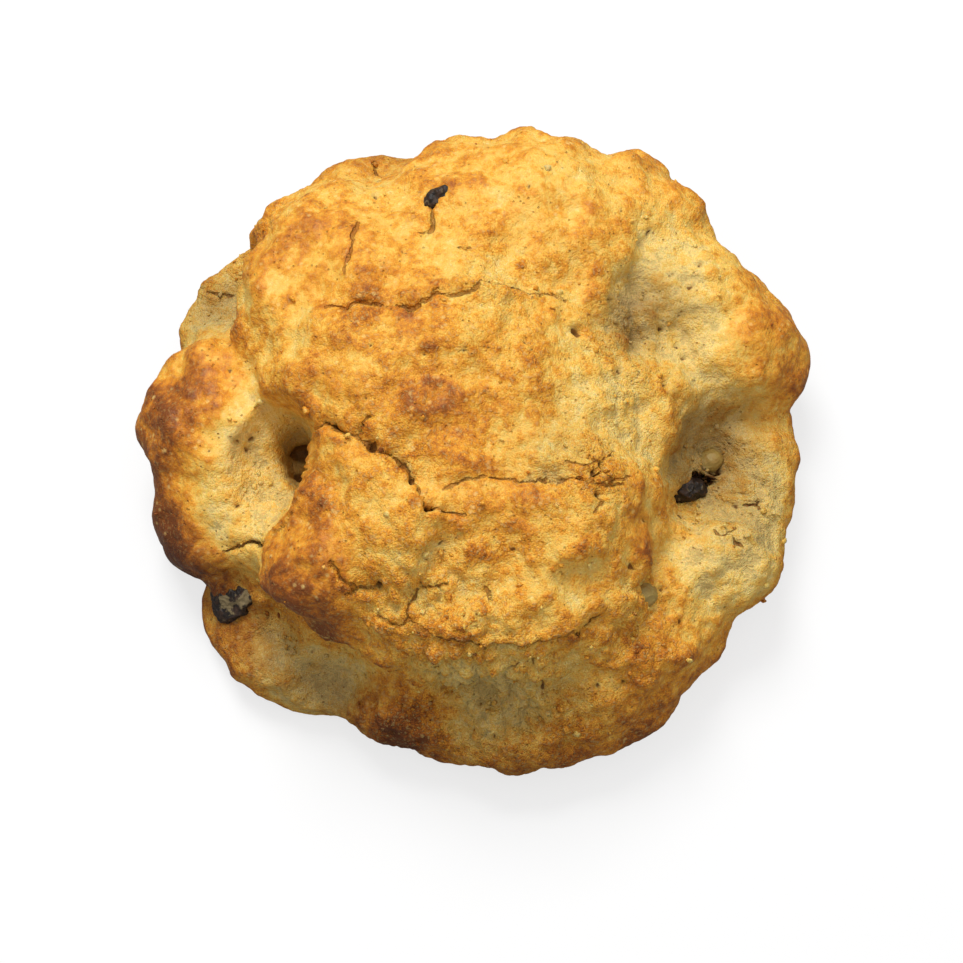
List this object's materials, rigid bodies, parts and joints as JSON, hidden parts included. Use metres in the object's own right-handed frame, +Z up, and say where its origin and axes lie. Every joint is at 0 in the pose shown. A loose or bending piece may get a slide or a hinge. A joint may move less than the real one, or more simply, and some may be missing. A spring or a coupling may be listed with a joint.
{
  "type": "oatmeal raisin cookie",
  "caption": "Tall, lumpy round cookie of golden brown dough with a cracked top, raisins and pale nut pieces baked into its crust, and a flat base.",
  "frame": {"origin": "centre of the outline at the level of the flat base", "axes": "+Z up out of the flat base; -Y is the side with the plain front wall; +X towards the pointed right lump"},
  "size_m": [0.102, 0.097, 0.04],
  "materials": {
    "crust": "golden brown baked crust, matt with a faint sheen",
    "raisin": "dark wrinkled raisin skin",
    "nut": "pale cream nut piece"
  },
  "bodies": {
    "root": {"dough": "crust", "raisin_in_left_bay": "raisin", "raisin_in_right_bay": "raisin", "raisin_under_crown": "raisin", "nut_in_right_bay": "nut", "nut_in_front_slope": "nut"}
  },
  "joints": []
}
